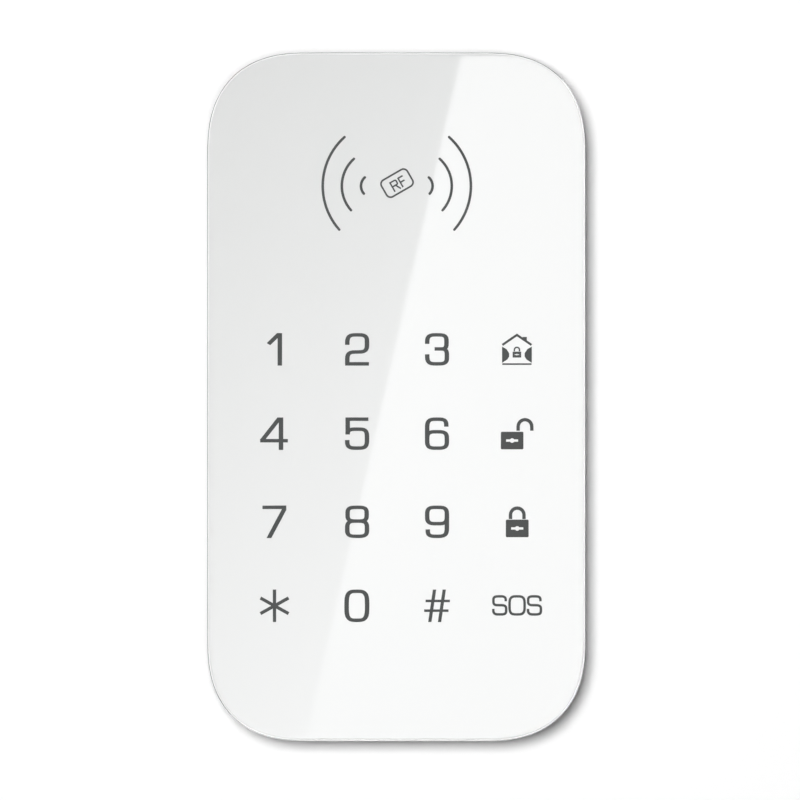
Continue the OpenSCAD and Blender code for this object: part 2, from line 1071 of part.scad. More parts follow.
module tamper_spring() {
    wire_r = 0.15;
    spring_room = tamper_case_top - flange_front;
    turns = 2.5;
    color("silver")
        translate([tamper_x, -(flange_front + wire_r + 0.02), tamper_z])
            rotate([90, 0, 0])
                coil(2, wire_r, turns, (spring_room - 2 * wire_r - 0.04) / turns, 16, 6);
}

// ---- Screws ----

// Screw with a round slotted head, whose seat is at the given depth
module screw(seat, tip) {
    head_t = 1.5;
    slot_l = 3.2;
    slot_w = 0.5;
    slot_front = seat - head_t + 0.7;
    difference() {
        disc(0, 0, head_r, seat - head_t, seat);
        block(0, 0, slot_l, slot_w, seat - head_t - 1, slot_front);
        block(0, 0, slot_w, slot_l, seat - head_t - 1, slot_front);
    }
    disc(0, 0, screw_r, seat - eps, tip);
}

module housing_screws() {
    color("silver")
        at_case_screws()
            screw(head_seat, guide_front - 0.9);
}

module board_screws() {
    color("silver")
        at_board_screws()
            screw(board_back, guide_front - 0.5);
}

wall_bracket();
rear_housing();
front_frame();
panel_adhesive();
front_panel();
digit_legends();
symbol_legends();
reader_legend();
touch_film();
touch_pads();
light_guide();
backlight_leds();
main_board();
reader_coil();
touch_controller();
microcontroller();
reader_chip();
charger_chip();
radio_module();
radio_antenna();
crystal();
board_passives();
buzzer();
battery();
battery_pad();
battery_leads();
battery_plug();
usb_socket();
power_switch_body();
power_switch_knob();
tamper_switch();
tamper_plunger();
tamper_spring();
housing_screws();
board_screws();
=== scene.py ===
"""Looks of a wireless touch keypad with its wall bracket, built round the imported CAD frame.

Lengths are in millimetres until a vertex is made. A depth is measured from the wall towards the
front, so a point at depth d has y = -d. The keypad faces -Y, +Z is up and +X is to the right.
"""
import json
import math

import bmesh
import bpy
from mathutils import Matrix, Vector


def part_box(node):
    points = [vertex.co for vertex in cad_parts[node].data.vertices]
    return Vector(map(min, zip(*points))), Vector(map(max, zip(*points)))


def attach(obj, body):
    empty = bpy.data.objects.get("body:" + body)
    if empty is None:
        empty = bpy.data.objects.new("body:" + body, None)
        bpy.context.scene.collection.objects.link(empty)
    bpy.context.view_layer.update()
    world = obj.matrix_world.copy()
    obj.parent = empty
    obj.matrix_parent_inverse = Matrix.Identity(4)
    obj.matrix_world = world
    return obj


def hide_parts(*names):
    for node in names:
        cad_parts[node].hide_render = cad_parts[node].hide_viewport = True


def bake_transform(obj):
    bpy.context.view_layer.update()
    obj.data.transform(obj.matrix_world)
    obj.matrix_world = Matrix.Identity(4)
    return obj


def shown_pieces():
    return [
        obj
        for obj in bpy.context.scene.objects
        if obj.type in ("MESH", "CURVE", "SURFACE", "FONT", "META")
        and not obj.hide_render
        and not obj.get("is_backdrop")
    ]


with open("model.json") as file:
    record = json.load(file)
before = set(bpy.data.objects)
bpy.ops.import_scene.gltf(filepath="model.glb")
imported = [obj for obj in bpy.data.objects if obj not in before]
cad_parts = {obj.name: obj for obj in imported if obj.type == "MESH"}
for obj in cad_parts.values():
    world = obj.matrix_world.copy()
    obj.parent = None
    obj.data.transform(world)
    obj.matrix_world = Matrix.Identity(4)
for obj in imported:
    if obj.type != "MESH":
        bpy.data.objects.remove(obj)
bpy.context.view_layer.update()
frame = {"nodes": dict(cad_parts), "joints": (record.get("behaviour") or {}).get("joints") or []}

MM = 0.001


def depths(node):
    """Depths of the back and the front of a CAD node."""
    low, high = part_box(node)
    return -high.y / MM, -low.y / MM


# ---- Sizes ----
PANEL_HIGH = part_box("front_panel")[1]
HALF_W = PANEL_HIGH.x / MM
HALF_H = PANEL_HIGH.z / MM
PANEL_BACK, PANEL_FRONT = depths("front_panel")
CORNER = 18.2
CORNER_POWER = 2.45
CORNER_STEPS = 40

# Depths of the layers of the housing
RIM_BACK, HOUSING_FRONT = depths("rear_housing")
BOSS_BACK, FRAME_FRONT = depths("front_frame")
FRAME_BACK = HOUSING_FRONT + 0.1
BOARD_BACK, BOARD_FRONT = depths("main_board")
FLOOR_FRONT = depths("battery_pad")[0]
FLOOR_T = 1.6
FLOOR_BACK = FLOOR_FRONT - FLOOR_T
RIM_T = 1.6
RIM_ROUND = 2.6
BRACKET_T = 2.6

# Insets from the outline of the panel
FRAME_INSET = 0.4
HOUSING_INSET = 0.5
WAIST_INSET = 1.1
CAVITY_INSET = 2.7
TONGUE_INSET = 2.8
TONGUE_T = 1.1
TROUGH_INSET = 3.2
LEDGE_INSET = 5.3
RECESS_INSET = 9
BRACKET_INSET = 9.5

# Fixings: the screws that close the case, the screws of the board, the wall screws and the hooks
CASE_X = 26.2
CASE_Z = 52.2
BOARD_SCREW = (27, -6)
SCREW_R = 1
SCREW_PLAY = 0.02
HEAD_R = 1.9
HEAD_T = 1.5
HEAD_SEAT = FLOOR_FRONT + 0.8
BOSS_R = 2.2
PAD_R = 2.8
WALL_SCREW_Z = 30
WALL_SCREW_R = 2.1
WALL_HEAD_R = 3.9
HOOK_X = 20
HOOK_Z = (38, -36)
HOOK_W = 5
STEM_H = 2
LIFT = 5.5
PLAY = 0.3
# How far a cutting solid goes past the surface that it opens
BEYOND = 1


# ---- Mesh helpers ----
def outline(inset):
    """Outline of the body moved inwards: straight sides with superellipse corners."""
    reach = CORNER - inset
    power = 2 / CORNER_POWER
    points = []
    for quarter in range(4):
        side_x = 1 if quarter in (0, 3) else -1
        side_z = 1 if quarter < 2 else -1
        for step in range(CORNER_STEPS + 1):
            turn = math.pi / 2 * step / CORNER_STEPS
            if quarter % 2:
                turn = math.pi / 2 - turn
            x = HALF_W - CORNER + reach * max(math.cos(turn), 0) ** power
            z = HALF_H - CORNER + reach * max(math.sin(turn), 0) ** power
            points.append((side_x * x, side_z * z))
    return points


def body_ring(inset, depth, raise_low=0):
    """One ring of a loft. raise_low moves the lower half of the outline upwards."""
    return [(x, depth, z + (raise_low if z < 0 else 0)) for x, z in outline(inset)]


def rounding(inset, depth, radius, towards, steps=6):
    """Insets and depths along a quarter round that starts at the side and ends on a face."""
    return [
        (
            inset + radius * (1 - math.cos(math.pi / 2 * i / steps)),
            depth + towards * radius * (math.sin(math.pi / 2 * i / steps) - 1),
        )
        for i in range(steps + 1)
    ]


def new_object(name, bm):
    bmesh.ops.recalc_face_normals(bm, faces=bm.faces)
    mesh = bpy.data.meshes.new(name)
    bm.to_mesh(mesh)
    bm.free()
    made = bpy.data.objects.new(name, mesh)
    bpy.context.scene.collection.objects.link(made)
    return made


def add_rings(bm, rings, loop=False):
    """Lofts rings of (x, depth, z) points into bm, with end caps unless the rings form a loop."""
    rows = [[bm.verts.new((x * MM, -d * MM, z * MM)) for x, d, z in ring] for ring in rings]
    count = len(rows[0])
    pairs = list(zip(rows, rows[1:]))
    if loop:
        pairs.append((rows[-1], rows[0]))
    for low, high in pairs:
        for i in range(count):
            j = (i + 1) % count
            bm.faces.new((low[i], low[j], high[j], high[i]))
    if not loop:
        bm.faces.new(rows[0])
        bm.faces.new(rows[-1])


def loft(name, rings, loop=False):
    bm = bmesh.new()
    add_rings(bm, rings, loop)
    return new_object(name, bm)


def circle(x, depth, z, r, steps=48):
    """A ring round Y."""
    return [
        (
            x + r * math.cos(math.tau * i / steps),
            depth,
            z + r * math.sin(math.tau * i / steps),
        )
        for i in range(steps)
    ]


def lathe(bm, x, z, profile, steps=48):
    """A solid turned about Y through x and z. The profile lists (radius, depth)."""
    add_rings(bm, [circle(x, depth, z, r, steps) for r, depth in profile])


def slab(bm, x, z, w, h, back, front):
    """A block centred at x and z."""
    corners = [(-1, -1), (1, -1), (1, 1), (-1, 1)]
    add_rings(
        bm,
        [[(x + i * w / 2, depth, z + j * h / 2) for i, j in corners] for depth in (back, front)],
    )


def round_slab(bm, x, z, w, h, r, back, front, steps=8):
    """A block with round corners, centred at x and z."""
    ring = []
    for quarter in range(4):
        for i in range(steps + 1):
            turn = math.pi / 2 * (quarter + i / steps)
            middle_x = (w / 2 - r) * (1 if quarter in (0, 3) else -1)
            middle_z = (h / 2 - r) * (1 if quarter < 2 else -1)
            ring.append((x + middle_x + r * math.cos(turn), z + middle_z + r * math.sin(turn)))
    add_rings(bm, [[(px, depth, pz) for px, pz in ring] for depth in (back, front)])


def tube(bm, points, r, sides=8):
    """A round wire along a list of (x, depth, z) points."""
    path = [Vector(p) for p in points]
    rings = []
    for i, at in enumerate(path):
        along = (path[min(i + 1, len(path) - 1)] - path[max(i - 1, 0)]).normalized()
        across = along.cross(Vector((0, 1, 0))).normalized()
        other = along.cross(across)
        rings.append([
            tuple(
                at
                + across * r * math.cos(math.tau * j / sides)
                + other * r * math.sin(math.tau * j / sides)
            )
            for j in range(sides)
        ])
    add_rings(bm, rings)


def settle(piece):
    """Makes the modifiers of a piece part of its mesh."""
    bpy.context.view_layer.update()
    seen = piece.evaluated_get(bpy.context.evaluated_depsgraph_get())
    mesh = bpy.data.meshes.new_from_object(seen)
    piece.modifiers.clear()
    piece.data = mesh


def combine(piece, operation, build):
    """Joins to piece, or cuts from it, the solids that build adds to a mesh."""
    bm = bmesh.new()
    build(bm)
    tool = new_object("tool", bm)
    step = piece.modifiers.new("combine", "BOOLEAN")
    step.object = tool
    step.operation = operation
    step.solver = "EXACT"
    settle(piece)
    bpy.data.objects.remove(tool)


def soften(piece, width=0.0, segments=2, angle=35):
    """Rounds the sharp edges a little and shades the rest smoothly."""
    for polygon in piece.data.polygons:
        polygon.use_smooth = True
    if width:
        bevel = piece.modifiers.new("edges", "BEVEL")
        bevel.width = width * MM
        bevel.segments = segments
        bevel.limit_method = "ANGLE"
        bevel.angle_limit = math.radians(angle)
        bevel.use_clamp_overlap = True
        bevel.harden_normals = False
    normals = piece.modifiers.new("normals", "WEIGHTED_NORMAL")
    normals.keep_sharp = True
    normals.weight = 100


# ---- Shells ----
def case_corners():
    return [(x, z) for x in (-CASE_X, CASE_X) for z in (-CASE_Z, CASE_Z)]


def board_screw_places():
    x, z = BOARD_SCREW
    return [(-x, z), (x, z)]


def make_panel():
    """Glossy front panel, with a rounded front edge and a small chamfer at the back."""
    edge_r = 0.5
    chamfer = 0.15
    flat_start = edge_r + 0.3
    profile = [(chamfer, PANEL_BACK), (0, PANEL_BACK + chamfer)]
    profile += rounding(0, PANEL_FRONT, edge_r, 1)
    profile.append((flat_start, PANEL_FRONT))
    panel = loft("glass_panel", [body_ring(i, d) for i, d in profile])
    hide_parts("front_panel")
    soften(panel)
    return panel


def make_frame():
    """Frame under the panel: outer band, tongue that enters the housing, and screw posts."""
    chamfer = 0.12
    tongue_back = FRAME_BACK - 1.5
    tongue_end = TONGUE_INSET + TONGUE_T
    profile = [
        (FRAME_INSET + chamfer, FRAME_BACK),
        (FRAME_INSET, FRAME_BACK + chamfer),
        (FRAME_INSET, FRAME_FRONT - chamfer),
        (FRAME_INSET + chamfer, FRAME_FRONT),
        (LEDGE_INSET, FRAME_FRONT),
        (LEDGE_INSET, FRAME_BACK),
        (tongue_end, FRAME_BACK),
        (tongue_end, tongue_back),
        (TONGUE_INSET, tongue_back),
        (TONGUE_INSET, FRAME_BACK),
    ]
    band = loft("frame_band", [body_ring(i, d) for i, d in profile], loop=True)

    post_front = FRAME_FRONT - 0.01
    bore_r = SCREW_R + SCREW_PLAY
    case_bore_front = FRAME_FRONT - 0.6
    board_bore_front = FRAME_FRONT - 0.2

    def posts(bm):
        for x, z in case_corners():
            lathe(bm, x, z, [
                (BOSS_R, BOSS_BACK),
                (BOSS_R, FRAME_BACK),
                (PAD_R, FRAME_BACK),
                (PAD_R, post_front),
            ])
        for x, z in board_screw_places():
            lathe(bm, x, z, [(PAD_R, BOARD_FRONT), (PAD_R, post_front)])

    def bores(bm):
        for x, z in case_corners():
            lathe(bm, x, z, [(bore_r, BOSS_BACK - BEYOND), (bore_r, case_bore_front)])
        for x, z in board_screw_places():
            lathe(bm, x, z, [(bore_r, BOARD_FRONT - BEYOND), (bore_r, board_bore_front)])

    combine(band, "UNION", posts)
    combine(band, "DIFFERENCE", bores)
    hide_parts("front_frame")
    soften(band)
    return band


def make_housing():
    """Rear shell: a tray with drafted sides, a round edge next to the wall and a raised rim."""
    lead = 0.3
    chamfer = 0.1
    profile = [
        (RECESS_INSET, FLOOR_BACK),
        (RECESS_INSET, RIM_BACK + lead),
        (RECESS_INSET - lead, RIM_BACK),
    ]
    profile += reversed(rounding(WAIST_INSET, RIM_BACK, RIM_ROUND, -1, 12))
    profile += [
        (HOUSING_INSET, HOUSING_FRONT - chamfer),
        (HOUSING_INSET + chamfer, HOUSING_FRONT),
        (CAVITY_INSET, HOUSING_FRONT),
        (CAVITY_INSET, FLOOR_FRONT),
        (TROUGH_INSET, FLOOR_FRONT),
        (TROUGH_INSET, RIM_BACK + RIM_T),
        (RECESS_INSET - RIM_T, RIM_BACK + RIM_T),
        (RECESS_INSET - RIM_T, FLOOR_FRONT),
    ]
    shell = loft("rear_shell", [body_ring(i, d) for i, d in profile])
    port_low, port_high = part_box("usb_socket")
    knob_low, knob_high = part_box("power_switch_knob")
    port_depth = -(port_low.y + port_high.y) / 2 / MM
    buzzer_x = (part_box("buzzer")[0].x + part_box("buzzer")[1].x) / 2 / MM
    tamper_x, tamper_z = tamper_place()

    def posts(bm):
        post_r = 3.4
        for x, z in case_corners():
            lathe(bm, x, z, [(post_r, RIM_BACK + RIM_T / 2), (post_r, BOSS_BACK - 0.1)])

    def wells(bm):
        well_r = HEAD_R + 0.2
        well_chamfer = 0.35
        bore_r = SCREW_R + 0.15
        for x, z in case_corners():
            lathe(bm, x, z, [
                (well_r + well_chamfer, -BEYOND),
                (well_r + well_chamfer, RIM_BACK),
                (well_r, RIM_BACK + well_chamfer),
                (well_r, HEAD_SEAT),
                (bore_r, HEAD_SEAT),
                (bore_r, BOARD_BACK),
            ])
        guide_r = 1.55
        guide_chamfer = 0.4
        lathe(bm, tamper_x, tamper_z, [
            (guide_r + guide_chamfer, FLOOR_BACK - BEYOND),
            (guide_r + guide_chamfer, FLOOR_BACK),
            (guide_r, FLOOR_BACK + guide_chamfer),
            (guide_r, FLOOR_FRONT + BEYOND),
        ])
        slot_r = 0.4
        slot_play = 0.05
        slot_w = HOOK_W + 2 * PLAY
        slot_h = STEM_H + LIFT + PLAY + slot_play
        slot_back = FLOOR_BACK - BEYOND
        slot_front = FLOOR_FRONT + BEYOND
        for x in (-HOOK_X, HOOK_X):
            for z in HOOK_Z:
                middle = z + STEM_H + slot_play - slot_h / 2
                round_slab(bm, x, middle, slot_w, slot_h, slot_r, slot_back, slot_front)

    def openings(bm):
        """Mouth of the charging socket, slot of the switch and the buzzer's holes."""
        bottom = -HALF_H + 1
        depth = 4
        port_w = 8.3
        port_half_t = 1.7
        slab(bm, 0, bottom, port_w, depth, port_depth - port_half_t, port_depth + port_half_t)
        knob_play = 0.25
        travel = frame_joint("power_switch")["range_m"][1] / MM
        knob_w = (knob_high.x - knob_low.x) / MM
        knob_t = (knob_high.y - knob_low.y) / MM
        middle = (knob_low.x + knob_high.x) / 2 / MM + travel / 2
        slot_w = knob_w + travel + 2 * knob_play
        half_t = knob_t / 2 + knob_play
        slab(bm, middle, bottom, slot_w, depth, port_depth - half_t, port_depth + half_t)
        sound_pitch = 2.5
        sound_r = 0.6
        low, high = -HALF_H - 1, -HALF_H + 3
        for hole in (-1, 0, 1):
            rise(bm, buzzer_x + sound_pitch * hole, port_depth, low, high, sound_r)

    combine(shell, "UNION", posts)
    combine(shell, "DIFFERENCE", wells)
    combine(shell, "DIFFERENCE", openings)
    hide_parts("rear_housing")
    soften(shell, 0.12)
    return shell


def rise(bm, x, depth, low, high, r, steps=24):
    """An upright round rod."""
    turns = [math.tau * i / steps for i in range(steps)]
    add_rings(bm, [
        [(x + r * math.cos(t), depth + r * math.sin(t), z) for t in turns] for z in (low, high)
    ])


def frame_joint(name):
    return next(joint for joint in frame["joints"] if joint["name"] == name)


def tamper_place():
    low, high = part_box("tamper_plunger")
    return (low.x + high.x) / 2 / MM, (low.z + high.z) / 2 / MM


def make_bracket():
    """Wall plate with ribs, countersunk screw holes, a window for the plunger and four hooks."""
    raise_low = LIFT + PLAY
    edge = 0.4
    pocket_x = 13.5
    pocket_w = 15
    profile = [(BRACKET_INSET + edge, 0)]
    profile += [(BRACKET_INSET, edge), (BRACKET_INSET, BRACKET_T - edge)]
    profile += rounding(BRACKET_INSET, BRACKET_T, edge, 1, 4)[1:]
    plate = loft("wall_plate", [body_ring(i, d, raise_low) for i, d in profile])
    tamper_x, tamper_z = tamper_place()
    pocket_h = 21.5
    pocket_r = 2
    pocket_t = 1
    rib_t = 2.5

    def cuts(bm):
        for x in (-pocket_x, pocket_x):
            for row in (-1.5, -0.5, 0.5, 1.5):
                z = raise_low / 2 + row * (pocket_h + rib_t)
                round_slab(bm, x, z, pocket_w, pocket_h, pocket_r, -BEYOND, pocket_t)
        for z in (-WALL_SCREW_Z, WALL_SCREW_Z):
            sink = WALL_HEAD_R - WALL_SCREW_R
            lathe(bm, 0, z, [
                (WALL_SCREW_R, -BEYOND),
                (WALL_SCREW_R, BRACKET_T - sink),
                (WALL_HEAD_R, BRACKET_T),
                (WALL_HEAD_R + BEYOND, BRACKET_T + BEYOND),
            ])
        window_r = 2
        corner_r = 1.9
        round_slab(
            bm, tamper_x, tamper_z + LIFT / 2, 2 * window_r, LIFT + 2 * window_r,
            corner_r, -BEYOND, BRACKET_T + BEYOND,
        )

    combine(plate, "DIFFERENCE", cuts)

    def hooks(bm):
        root = BRACKET_T - 0.2
        lip_back = FLOOR_FRONT + PLAY
        lip_front = lip_back + 1.2
        lip_h = LIFT - PLAY - 0.2
        lead = 0.35
        for x in (-HOOK_X, HOOK_X):
            for z in HOOK_Z:
                side = [
                    (root, 0),
                    (lip_front - lead, 0),
                    (lip_front, lead),
                    (lip_front, STEM_H + lip_h - lead),
                    (lip_front - lead, STEM_H + lip_h),
                    (lip_back, STEM_H + lip_h),
                    (lip_back, STEM_H),
                    (root, STEM_H),
                ]
                add_rings(bm, [
                    [(x + end * HOOK_W / 2, depth, z + up) for depth, up in side] for end in (-1, 1)
                ])

    combine(plate, "UNION", hooks)
    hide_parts("wall_bracket")
    soften(plate, 0.12)
    return plate


# ---- Small pieces ----
def cross_ring(x, depth, z, reach, half_t):
    """Outline of a cross with four equal arms."""
    quarter = [(reach, -half_t), (reach, half_t), (half_t, half_t)]
    turns = ((1, 0), (0, 1), (-1, 0), (0, -1))
    return [(x + a * c - b * s, depth, z + a * s + b * c) for c, s in turns for a, b in quarter]


def make_screw(name, x, z, seat, tip, node):
    """Pan-head screw with a cross recess and a threaded shank."""
    top = seat - HEAD_T
    neck_r = SCREW_R - 0.02
    root_r = SCREW_R - 0.2
    crest_r = SCREW_R - 0.01
    pitch = 0.45
    profile = [
        (0.9, top),
        (1.45, top + 0.06),
        (1.75, top + 0.28),
        (HEAD_R, top + 0.62),
        (HEAD_R, seat - 0.1),
        (HEAD_R - 0.1, seat),
        (neck_r, seat),
        (neck_r, seat + 0.3),
    ]
    for turn in range(int((tip - seat - 1) / pitch)):
        at = seat + 0.4 + turn * pitch
        profile += [(root_r, at), (crest_r, at + pitch / 2)]
    profile += [(root_r, tip - 0.5), (0.3, tip)]
    bm = bmesh.new()
    lathe(bm, x, z, profile, 40)
    screw = new_object(name, bm)
    # The recess gets narrower inwards. Each ring has its depth, the reach of its arms and half of
    # their thickness.
    recess = [
        cross_ring(x, depth, z, reach, half_t)
        for depth, reach, half_t in ((top - 0.5, 1.8, 0.4), (top + 0.75, 0.8, 0.18))
    ]
    combine(screw, "DIFFERENCE", lambda tool: add_rings(tool, recess))
    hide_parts(node)
    soften(screw)
    return screw


def make_screws():
    screws = []
    case_tip = depths("housing_screws")[1]
    for x, z in case_corners():
        name = f"case_screw_{'top' if z > 0 else 'bottom'}_{'right' if x > 0 else 'left'}"
        screws.append(make_screw(name, x, z, HEAD_SEAT, case_tip, "housing_screws"))
    board_tip = depths("board_screws")[1]
    for (x, z), word in zip(board_screw_places(), ("left", "right")):
        screws.append(make_screw(f"board_screw_{word}", x, z, BOARD_BACK, board_tip, "board_screws"))
    return screws


def socket_ring(half_w, half_h, cut, depth, z):
    """Section of the socket, whose front corners are cut off."""
    flat = [
        (-half_w, -half_h), (half_w, -half_h), (half_w, half_h - cut),
        (half_w - cut, half_h), (cut - half_w, half_h), (-half_w, half_h - cut),
    ]
    return [(x, depth + d, z) for x, d in flat]


def make_socket():
    """Charging socket: folded metal shell, and a tongue with its contacts."""
    low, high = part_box("usb_socket")
    half_w = (high.x - low.x) / 2 / MM
    half_h = (high.y - low.y) / 2 / MM
    depth = -(high.y + low.y) / 2 / MM
    mouth, end = low.z / MM, high.z / MM
    wall = 0.3
    lip = 0.12
    cut = 0.8
    edge = 0.05
    inner_end = end - 1
    inner_w, inner_h = half_w - wall, half_h - wall
    shell = loft("socket_shell", [
        socket_ring(inner_w, inner_h, cut, depth, inner_end),
        socket_ring(inner_w, inner_h, cut, depth, mouth + lip),
        socket_ring(inner_w + lip, inner_h + lip, cut, depth, mouth),
        socket_ring(half_w - edge, half_h - edge, cut, depth, mouth),
        socket_ring(half_w, half_h, cut, depth, mouth + edge),
        socket_ring(half_w, half_h, cut, depth, end),
    ])
    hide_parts("usb_socket")
    soften(shell, 0.06)

    bm = bmesh.new()
    tongue_w = 3.5
    tongue_depth = depth - 0.32
    tongue_back = tongue_depth - 0.28
    tongue_front = tongue_depth + 0.27
    tip = mouth + 0.8
    slab(bm, 0, (tip + inner_end) / 2, tongue_w, inner_end - tip, tongue_back, tongue_front)
    tongue = new_object("socket_tongue", bm)
    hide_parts("usb_socket")
    soften(tongue, 0.08)

    bm = bmesh.new()
    pitch = 0.65
    contact_w = 0.34
    contact_l = end - tip - 1.4
    middle = (tip + end) / 2 - 0.4
    back, front = tongue_depth + 0.26, tongue_depth + 0.34
    for contact in range(-2, 3):
        slab(bm, pitch * contact, middle, contact_w, contact_l, back, front)
    contacts = new_object("socket_contacts", bm)
    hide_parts("usb_socket")
    soften(contacts, 0.02)
    return shell, tongue, contacts


def make_knob():
    """Slide switch knob with three grip grooves across its tip."""
    low, high = (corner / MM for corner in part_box("power_switch_knob"))
    x, z = (low.x + high.x) / 2, (low.z + high.z) / 2
    back, front = -high.y, -low.y
    bm = bmesh.new()
    slab(bm, x, z, high.x - low.x, high.z - low.z, back, front)
    knob = new_object("switch_knob", bm)

    def grooves(tool):
        pitch = 0.62
        groove_w = 0.26
        groove_h = 0.5
        for groove in (-1, 0, 1):
            middle = x + groove * pitch
            slab(tool, middle, low.z, groove_w, groove_h, back - BEYOND, front + BEYOND)

    combine(knob, "DIFFERENCE", grooves)
    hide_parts("power_switch_knob")
    soften(knob, 0.08)
    return knob


def make_plunger():
    """Tamper plunger: a pin with a domed tip, a flange for the spring and a nose."""
    back, front = depths("tamper_plunger")
    x, z = tamper_place()
    low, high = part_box("tamper_plunger")
    flange_r = (high.x - low.x) / 2 / MM
    flange_front = depths("tamper_spring")[0] - 0.02
    flange_back = flange_front - 0.8
    pin_r = 1.5
    nose_r = 1.1
    fillet = 0.15
    chamfer = 0.1
    bm = bmesh.new()
    lathe(bm, x, z, [
        (0.5, back),
        (0.95, back + 0.05),
        (1.28, back + 0.2),
        (pin_r, back + 0.55),
        (pin_r, flange_back - fillet),
        (pin_r + fillet, flange_back),
        (flange_r - chamfer, flange_back),
        (flange_r, flange_back + chamfer),
        (flange_r, flange_front - chamfer),
        (flange_r - chamfer, flange_front),
        (nose_r, flange_front),
        (nose_r, front - fillet),
        (nose_r - fillet, front),
    ])
    plunger = new_object("tamper_pin", bm)
    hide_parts("tamper_plunger")
    soften(plunger)
    return plunger


def make_spring():
    """Tamper spring, which stretches in the real keypad when the plunger moves out; here it is built
    once, at rest.
    """
    back, front = depths("tamper_spring")
    low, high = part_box("tamper_spring")
    x, z = tamper_place()
    wire_r = 0.15
    r = (high.x - low.x) / 2 / MM - wire_r
    turns = 2.5
    steps = 24
    count = int(turns * steps)
    rise_by = front - back - 2 * wire_r
    points = [
        (
            x + r * math.cos(math.tau * i / steps),
            back + wire_r + rise_by * i / count,
            z + r * math.sin(math.tau * i / steps),
        )
        for i in range(count + 1)
    ]
    bm = bmesh.new()
    tube(bm, points, wire_r, 10)
    spring = new_object("spring_wire", bm)
    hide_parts("tamper_spring")
    soften(spring)
    return spring


# ---- Materials ----
class Nodes:
    """Short names for making and joining the nodes of one material."""

    def __init__(self, name):
        self.material = bpy.data.materials.new(name)
        self.material.use_nodes = True
        self.tree = self.material.node_tree
        self.shader = self.tree.nodes["Principled BSDF"]
        self.place = self.tree.nodes.new("ShaderNodeTexCoord").outputs["Object"]

    def join(self, source, target):
        self.tree.links.new(source, target)

    def noise(self, scale, detail=3.0, stretch=None):
        """Noise whose scale counts features per millimetre."""
        place = self.place
        if stretch:
            mapping = self.tree.nodes.new("ShaderNodeMapping")
            mapping.inputs["Scale"].default_value = stretch
            self.join(place, mapping.inputs["Vector"])
            place = mapping.outputs["Vector"]
        node = self.tree.nodes.new("ShaderNodeTexNoise")
        node.inputs["Scale"].default_value = scale / MM
        node.inputs["Detail"].default_value = detail
        self.join(place, node.inputs["Vector"])
        return node.outputs["Fac"]

    def spread(self, value, low, high, start=0.3, end=0.7):
        """Spreads a value from start..end over low..high."""
        node = self.tree.nodes.new("ShaderNodeMapRange")
        limits = {"From Min": start, "From Max": end, "To Min": low, "To Max": high}
        for socket, number in limits.items():
            node.inputs[socket].default_value = number
        self.join(value, node.inputs["Value"])
        return node.outputs["Result"]

    def mix(self, factor, first, second):
        node = self.tree.nodes.new("ShaderNodeMix")
        node.data_type = "RGBA"
        self.join(factor, node.inputs["Factor"])
        for socket, colour in (("A", first), ("B", second)):
            target = next(s for s in node.inputs if s.name == socket and s.type == "RGBA")
            if isinstance(colour, tuple):
                target.default_value = (*colour, 1)
            else:
                self.join(colour, target)
        return next(s for s in node.outputs if s.type == "RGBA")

    def edges(self, width):
        """1 on edges sharper than the given width in millimetres, 0 on flat faces."""
        bevel = self.tree.nodes.new("ShaderNodeBevel")
        bevel.samples = 4
        bevel.inputs["Radius"].default_value = width * MM
        surface = self.tree.nodes.new("ShaderNodeNewGeometry")
        dot = self.tree.nodes.new("ShaderNodeVectorMath")
        dot.operation = "DOT_PRODUCT"
        self.join(bevel.outputs["Normal"], dot.inputs[0])
        self.join(surface.outputs["Normal"], dot.inputs[1])
        return self.spread(dot.outputs["Value"], 1, 0, 0.75, 0.99)

    def bump(self, height, strength, distance):
        node = self.tree.nodes.new("ShaderNodeBump")
        node.inputs["Strength"].default_value = strength
        node.inputs["Distance"].default_value = distance * MM
        self.join(height, node.inputs["Height"])
        self.join(node.outputs["Normal"], self.shader.inputs["Normal"])

    def constant(self, **values):
        for name, value in values.items():
            self.shader.inputs[name.replace("_", " ")].default_value = value


def shade(colour, factor):
    return tuple(min(1.0, channel * factor) for channel in colour)


def moulded(name, colour, rough, grain=3.0, depth=0.01, wear=0.0, vary=0.04, **constants):
    """Moulded plastic: faint clouds, a fine spark-eroded grain and, when wear is given, lighter edges.
    """
    n = Nodes(name)
    cloud = n.spread(n.noise(0.05, 2), 0, 1)
    base = n.mix(cloud, shade(colour, 1 - vary), shade(colour, 1 + vary / 2))
    grain_noise = n.noise(grain, 4)
    rough_value = n.spread(grain_noise, rough - 0.06, rough + 0.06)
    if wear:
        edge = n.spread(n.edges(0.25), 0, wear, 0, 1)
        base = n.mix(edge, base, shade(colour, 1.12))
    n.join(base, n.shader.inputs["Base Color"])
    n.join(rough_value, n.shader.inputs["Roughness"])
    n.bump(grain_noise, 0.5, depth)
    n.constant(**constants)
    return n.material


def metal(name, colour, rough, stretch=(1, 1, 1), wear=0.3, depth=0.004):
    """Plated or rolled metal: fine drawn lines in its roughness and bump, smudges of colour and bright
    edges.
    """
    n = Nodes(name)
    lines = n.noise(4, 4, stretch)
    smudge = n.spread(n.noise(0.4, 3), 0, 1)
    base = n.mix(smudge, shade(colour, 0.86), shade(colour, 1.03))
    edge = n.spread(n.edges(0.12), 0, wear, 0, 1)
    base = n.mix(edge, base, shade(colour, 1.2))
    n.join(base, n.shader.inputs["Base Color"])
    n.join(n.spread(lines, rough - 0.07, rough + 0.1), n.shader.inputs["Roughness"])
    n.bump(lines, 0.4, depth)
    n.constant(Metallic=1.0)
    return n.material


